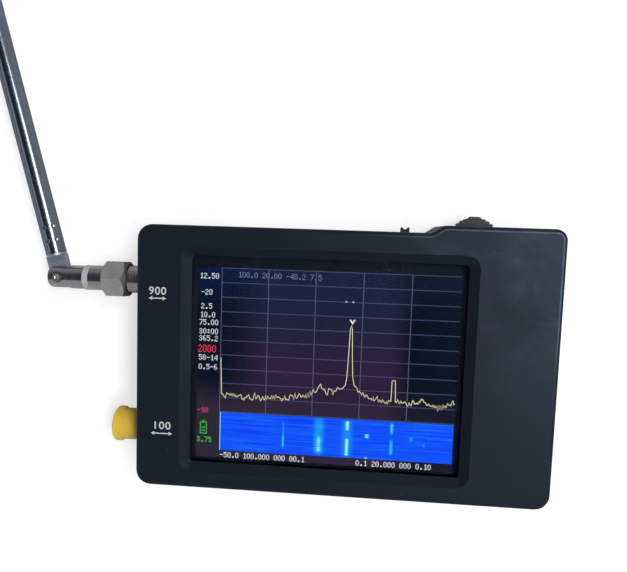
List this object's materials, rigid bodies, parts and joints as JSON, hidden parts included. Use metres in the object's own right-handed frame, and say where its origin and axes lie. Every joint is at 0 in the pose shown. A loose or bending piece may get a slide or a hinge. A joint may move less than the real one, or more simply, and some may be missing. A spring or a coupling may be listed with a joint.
{
  "type": "handheld spectrum analyzer",
  "caption": "Pocket spectrum analyzer with a bevelled colour screen, jog lever, power slide, capped RF jack and a screw-on telescopic whip antenna on a swivel elbow.",
  "frame": {"origin": "centre of the rear face of the case, between its left and right sides and between the bottom edge and the lower part of the top edge", "axes": "+X right as the screen is read, +Y to the top edge with the controls, +Z out of the screen; the jacks point along -X"},
  "size_m": [0.1337, 0.1177, 0.0171],
  "materials": {
    "case_plastic": "satin",
    "control_plastic": "satin",
    "screw_steel": "satin",
    "gasket_foam": "matte",
    "touch_glass": "gloss",
    "lcd_black": "gloss",
    "flex_amber": "satin",
    "board_green": "satin",
    "chip_black": "matte",
    "can_steel": "satin",
    "battery_foil": "satin",
    "tape_white": "matte",
    "lead_red": "satin",
    "plug_cream": "satin",
    "jack_nickel": "satin",
    "dielectric_white": "satin",
    "contact_gold": "gloss",
    "cap_yellow": "satin",
    "usb_steel": "satin",
    "usb_black": "matte",
    "switch_grey": "matte",
    "jog_black": "matte",
    "jog_white": "satin",
    "jog_steel": "satin",
    "nut_nickel": "satin",
    "antenna_chrome": "gloss",
    "clip_bronze": "satin"
  },
  "bodies": {
    "case": {"front_shell": "case_plastic", "rear_shell": "case_plastic", "case_screws": "screw_steel", "window_gasket": "gasket_foam", "touch_panel": "touch_glass", "touch_tape": "gasket_foam", "lcd_panel": "lcd_black", "lcd_foam_pads": "gasket_foam", "lcd_flex": "flex_amber", "main_board": "board_green", "board_chips": "chip_black", "oscillator_can": "can_steel", "shield_can": "can_steel", "battery": "battery_foil", "battery_tape": "tape_white", "battery_leads": "lead_red", "battery_plug": "plug_cream", "battery_header": "plug_cream", "upper_jack_body": "jack_nickel", "upper_jack_dielectric": "dielectric_white", "upper_jack_contact": "contact_gold", "lower_jack_body": "jack_nickel", "lower_jack_dielectric": "dielectric_white", "lower_jack_contact": "contact_gold", "usb_shell": "usb_steel", "usb_tongue": "usb_black", "power_switch_housing": "switch_grey", "jog_housing": "jog_black", "jog_push_contact": "jog_steel"},
    "dust_cap": {"dust_cap": "cap_yellow"},
    "power_knob": {"power_knob": "control_plastic"},
    "jog_carriage": {"jog_carriage": "jog_white", "jog_pin": "jog_steel"},
    "jog_lever": {"jog_lever": "control_plastic"},
    "antenna_base": {"antenna_ferrule": "antenna_chrome", "antenna_insulator": "dielectric_white", "nut_ring": "nut_nickel"},
    "coupling_nut": {"coupling_nut": "nut_nickel"},
    "antenna_elbow": {"elbow_fork": "antenna_chrome", "elbow_rivet": "antenna_chrome", "elbow_washers": "clip_bronze", "antenna_pin": "contact_gold"},
    "whip_base": {"whip_root": "antenna_chrome", "whip_base_tube": "antenna_chrome"},
    "whip_second": {"whip_section_2": "antenna_chrome", "whip_clip_2": "clip_bronze"},
    "whip_third": {"whip_section_3": "antenna_chrome", "whip_clip_3": "clip_bronze"},
    "whip_fourth": {"whip_section_4": "antenna_chrome", "whip_clip_4": "clip_bronze"},
    "whip_rod": {"whip_section_5": "antenna_chrome", "whip_clip_5": "clip_bronze", "whip_tip": "antenna_chrome"}
  },
  "joints": [
    {"name": "cap_pull", "type": "slide", "parent": "case", "child": "dust_cap", "axis": [-1, 0, 0], "range_m": [0, 0.007]},
    {"name": "power_slide", "type": "slide", "parent": "case", "child": "power_knob", "axis": [-1, 0, 0], "range_m": [0, 0.002]},
    {"name": "jog_press", "type": "slide", "parent": "case", "child": "jog_carriage", "axis": [0, -1, 0], "range_m": [0, 0.0006], "stiffness_N_per_m": 800},
    {"name": "jog_tilt", "type": "hinge", "parent": "jog_carriage", "child": "jog_lever", "pos_m": [0.0286, 0.02755, 0.0047], "axis": [0, 0, 1], "range_deg": [-12, 12], "stiffness_Nm_per_rad": 0.05},
    {"name": "antenna_unscrew", "type": "slide", "parent": "case", "child": "antenna_base", "axis": [-1, 0, 0], "range_m": [0, 0.00423]},
    {"name": "nut_turn", "type": "hinge", "parent": "antenna_base", "child": "coupling_nut", "pos_m": [-0.05235, 0.0164, 0.00855], "axis": [-1, 0, 0], "range_deg": [0, 2160]},
    {"name": "antenna_swivel", "type": "hinge", "parent": "antenna_base", "child": "antenna_elbow", "pos_m": [-0.061, 0.0164, 0.00855], "axis": [1, 0, 0], "continuous": true},
    {"name": "elbow_tilt", "type": "hinge", "parent": "antenna_elbow", "child": "whip_base", "pos_m": [-0.0668, 0.0164, 0.00855], "axis": [0, 0, 1], "range_deg": [-15, 165]},
    {"name": "whip_slide_2", "type": "slide", "parent": "whip_base", "child": "whip_second", "axis": [-0.2588, 0.9659, 0], "range_m": [0, 0.048]},
    {"name": "whip_slide_3", "type": "slide", "parent": "whip_second", "child": "whip_third", "axis": [-0.2588, 0.9659, 0], "range_m": [0, 0.048]},
    {"name": "whip_slide_4", "type": "slide", "parent": "whip_third", "child": "whip_fourth", "axis": [-0.2588, 0.9659, 0], "range_m": [0, 0.048]},
    {"name": "whip_slide_5", "type": "slide", "parent": "whip_fourth", "child": "whip_rod", "axis": [-0.2588, 0.9659, 0], "range_m": [0, 0.048]}
  ],
  "couplings": [
    {"joint": "nut_turn", "follows": "antenna_unscrew", "rad_per_m": 8904.7}
  ]
}
